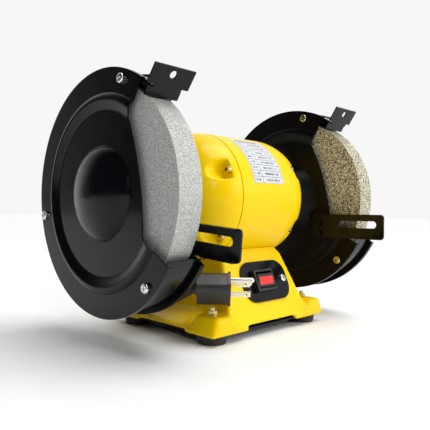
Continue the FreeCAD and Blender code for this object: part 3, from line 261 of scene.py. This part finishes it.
terminal = finish("terminal_plastic", (0.82, 0.80, 0.74), gloss=(0.35, 0.5), size=900)
sweep = finish("pale_floor", (0.93, 0.94, 0.95), gloss=(0.55, 0.7), size=40)
floor.data.materials.append(sweep)


def wheel_finish(name, base, dark, light, size):
    """Bonded abrasive: three tones of grit and a deep bump."""
    material = bpy.data.materials.new(name)
    material.use_nodes = True
    tree = material.node_tree
    shader = tree.nodes["Principled BSDF"]
    shader.inputs["Roughness"].default_value = 0.85
    texture = tree.nodes.new("ShaderNodeGroup")
    texture.node_tree = speckle
    texture.inputs["Scale"].default_value = size
    for label, colour in (("Base", base), ("Dark", dark), ("Light", light)):
        texture.inputs[label].default_value = colour + (1.0,)
    tree.links.new(texture.outputs["Color"], shader.inputs["Base Color"])
    bump = tree.nodes.new("ShaderNodeBump")
    bump.inputs["Distance"].default_value = 0.00035
    tree.links.new(texture.outputs["Height"], bump.inputs["Height"])
    tree.links.new(bump.outputs["Normal"], shader.inputs["Normal"])
    return material


grey_wheel = wheel_finish("grey_wheel", (0.50, 0.505, 0.475), (0.26, 0.26, 0.25), (0.74, 0.75, 0.70), 950.0)
brown_wheel = wheel_finish("brown_wheel", (0.50, 0.46, 0.33), (0.05, 0.04, 0.022), (0.92, 0.88, 0.68), 560.0)
print("finishes", len(bpy.data.materials))

# %% [markdown]
# The rating plate is a printed sticker wrapped round the motor. Its print follows the surface: one
# coordinate runs along the shaft and the other is the angle round it. Grey bars of uneven length
# stand for the table's text, so nothing on it can be read.


# %% Rating plate
def math_node(tree, operation, first, second=0.0):
    step = tree.nodes.new("ShaderNodeMath")
    step.operation = operation
    for place_, value in ((0, first), (1, second)):
        if isinstance(value, (int, float)):
            step.inputs[place_].default_value = value
        else:
            tree.links.new(value, step.inputs[place_])
    return step.outputs[0]


label = bpy.data.materials.new("printed_label")
label.use_nodes = True
tree = label.node_tree
split = tree.nodes.new("ShaderNodeSeparateXYZ")
tree.links.new(tree.nodes.new("ShaderNodeTexCoord").outputs["Object"], split.inputs[0])
height = math_node(tree, "SUBTRACT", split.outputs["Z"], SHAFT.z)
depth = math_node(tree, "SUBTRACT", SHAFT.y, split.outputs["Y"])
around = math_node(tree, "MULTIPLY", math_node(tree, "ARCTAN2", height, depth), 0.0677)
along = math_node(tree, "ADD", split.outputs["X"], 0.0226)
from_foot = math_node(tree, "SUBTRACT", around, 0.01465)


def bars(value, period, thin):
    """1 on thin lines that repeat at a period, 0 between them."""
    part = math_node(tree, "FRACT", math_node(tree, "DIVIDE", value, period))
    return math_node(tree, "LESS_THAN", part, thin)


def inside(value, low, high):
    over = math_node(tree, "GREATER_THAN", value, low)
    return math_node(tree, "MULTIPLY", over, math_node(tree, "LESS_THAN", value, high))


rules = bars(from_foot, 0.0068, 0.07)
column = math_node(tree, "MAXIMUM", inside(along, 0.0012, 0.0017), inside(along, 0.0146, 0.0151))
column = math_node(tree, "MAXIMUM", column, inside(along, 0.0468, 0.0473))
table = math_node(tree, "MAXIMUM", rules, column)
table = math_node(tree, "MULTIPLY", table, inside(from_foot, 0.0003, 0.0548))
table = math_node(tree, "MULTIPLY", table, inside(along, 0.0012, 0.0473))
words = tree.nodes.new("ShaderNodeCombineXYZ")
tree.links.new(math_node(tree, "MULTIPLY", along, 900.0), words.inputs[0])
row = math_node(tree, "FLOOR", math_node(tree, "DIVIDE", from_foot, 0.0068))
tree.links.new(math_node(tree, "MULTIPLY", row, 3.7), words.inputs[1])
letters = math_node(tree, "GREATER_THAN", noise(tree, words.outputs[0], 1.0, 2.0), 0.47)
line_part = math_node(tree, "FRACT", math_node(tree, "DIVIDE", from_foot, 0.0068))
letters = math_node(tree, "MULTIPLY", letters, inside(line_part, 0.36, 0.7))
field = math_node(tree, "MAXIMUM", inside(along, 0.0040, 0.0120), inside(along, 0.0200, 0.0420))
letters = math_node(tree, "MULTIPLY", letters, math_node(tree, "MULTIPLY", field, inside(from_foot, 0.0, 0.0545)))
printed = math_node(tree, "MAXIMUM", table, math_node(tree, "MULTIPLY", letters, 0.8))
printed = math_node(tree, "MAXIMUM", printed, math_node(tree, "MULTIPLY", 0.75, math_node(
    tree, "MULTIPLY", inside(from_foot, 0.0565, 0.0600), inside(along, 0.006, 0.041))))
ink = mixed(tree, printed, (0.66, 0.68, 0.72, 1), (0.03, 0.03, 0.04, 1))
shader = tree.nodes["Principled BSDF"]
shader.inputs["Roughness"].default_value = 0.35
tree.links.new(ink, shader.inputs["Base Color"])
print("label nodes", len(tree.nodes))

# %% [markdown]
# Every CAD node that stays in view takes one of these finishes, by the group of pieces it is in.

# %% Finishes of the CAD nodes
both = ("_left", "_right")
dressed = {
    yellow: ["motor_body", "pedestal"] + ["end_bell" + s for s in both],
    black: ["bottom_cover", "switch_plate", "rest_rivets"] + [n + s for s in both for n in (
        "guard_cover", "guard_band", "shield_bracket", "spark_deflector", "rest_bracket")],
    dull_black: ["guard_plate" + s for s in both],
    bright: ["cover_screws", "switch_screws"],
    gold_zinc: ["plate_screws", "hub_screws", "bell_screws", "foot_bolts", "saddle_screws"],
    steel: ["shaft", "wave_washer", "capacitor_clip"] + [n + s for s in both for n in (
        "bearing", "inner_flange", "outer_flange", "arbor_nut")],
    laminated: ["stator_core", "rotor_core"], copper: ["stator_windings"],
    grey_wheel: ["wheel_left"], brown_wheel: ["wheel_right"], paper: ["blotters"],
    rubber: ["rubber_feet"], plastic: ["switch_body", "rocker"], red: ["rocker_insert"],
    label: ["rating_plate"], lead_skin: ["cord_gland", "coil_tie"], moulded: ["plug_body", "plug_relief"],
    nickel: ["plug_pins"], can_metal: ["run_capacitor"], terminal: ["terminal_block"],
}
for material, names in dressed.items():
    for name in names:
        node[name].data.materials.clear()
        node[name].data.materials.append(material)
print("dressed", sum(len(n) for n in dressed.values()))

# %% [markdown]
# Sand castings have no sharp edges. A copy of each casting is joined up, rebuilt on a fine grid and
# relaxed, so every edge gets a small radius and the flats stay flat.


# %% Castings
def joined_copy(name, piece_name):
    """Copy of a CAD node with its loose triangles merged."""
    mesh = node[name].data.copy()
    piece = bpy.data.objects.new(piece_name, mesh)
    bpy.context.scene.collection.objects.link(piece)
    bpy.ops.object.select_all(action="DESELECT")
    bpy.context.view_layer.objects.active = piece
    piece.select_set(True)
    bpy.ops.object.mode_set(mode="EDIT")
    bpy.ops.mesh.select_all(action="SELECT")
    bpy.ops.mesh.remove_doubles(threshold=0.00001)
    bpy.ops.object.mode_set(mode="OBJECT")
    return piece


def cast_softly(name, grid, passes, colour, body="frame"):
    """Casting with rounded edges that stands for a CAD node."""
    piece = joined_copy(name, name + "_casting")
    rebuild = piece.modifiers.new("grid", "REMESH")
    rebuild.mode = "VOXEL"
    rebuild.voxel_size = grid
    relax = piece.modifiers.new("relax", "SMOOTH")
    relax.factor = 0.5
    relax.iterations = passes
    for modifier in ("grid", "relax"):
        bpy.ops.object.modifier_apply(modifier=modifier)
    bpy.ops.object.shade_smooth()
    piece.data.materials.clear()
    piece.data.materials.append(colour)
    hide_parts(name)
    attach(piece, body)
    print(piece.name, "faces", len(piece.data.polygons))
    return piece


cast_softly("pedestal", 0.0015, 14, yellow)
for side in both:
    cast_softly("end_bell" + side, 0.0012, 8, yellow)

# %% [markdown]
# The lead is a fixed length of rubber cable. It leaves the gland, lies down on the bench, is wound
# into a flat coil of two layers and comes back along the pedestal to its plug. One smooth spline
# follows the whole of it, so it bends like a cable and never like wire.

# %% Lead
move_back = Vector((0, SHAFT.y, 0))
gland_points = [(-30, 103.34, 30), (-30, 125, 27), (-30, 149, 14.5), (-25, 173, 5), (-8, 193, 3.9)]
plug_points = [(-12, 106, 7.5), (-38, 108, 4.4), (-62, 104, 12), (-78, 88, 27), (-82, 66, 34),
               (-82, 44, 33), (-85, 22, 25), (-91, 4, 24)]
coil_middle = Vector((30, 150, 0))
coil_turns = 5.571
inner_radius, outer_radius = 30.3, 51.4
coil_points = []
steps = 80
for k in range(steps + 1):
    done = k / steps
    angle = math.radians(100 - 360 * coil_turns * done)
    half = abs(2 * done - 1)
    radius = inner_radius + (outer_radius - inner_radius) * half
    climb = min(max((done - 0.5) / 0.035 + 0.5, 0.0), 1.0)
    level = 3.75 + 7.6 * climb
    coil_points.append(tuple(coil_middle + Vector((radius * math.cos(angle), radius * math.sin(angle), level))))
relief_end = Vector((-95.08, -31.23, 41.13))
route = gland_points + coil_points + plug_points + [tuple(relief_end)]
curve = bpy.data.curves.new("mains_lead", "CURVE")
curve.dimensions = "3D"
curve.bevel_depth = 0.00375
curve.bevel_resolution = 5
curve.resolution_u = 8
spline = curve.splines.new("NURBS")
spline.points.add(len(route) - 1)
for point, spot in zip(spline.points, route):
    point.co = (*(Vector(spot) * MM + move_back), 1)
spline.order_u = 3
spline.use_endpoint_u = True
lead = bpy.data.objects.new("mains_lead", curve)
bpy.context.scene.collection.objects.link(lead)
lead.data.materials.append(lead_skin)
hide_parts("cord_from_gland", "cord_to_plug", "cord_coil")
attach(lead, "frame")
print("lead points", len(route))
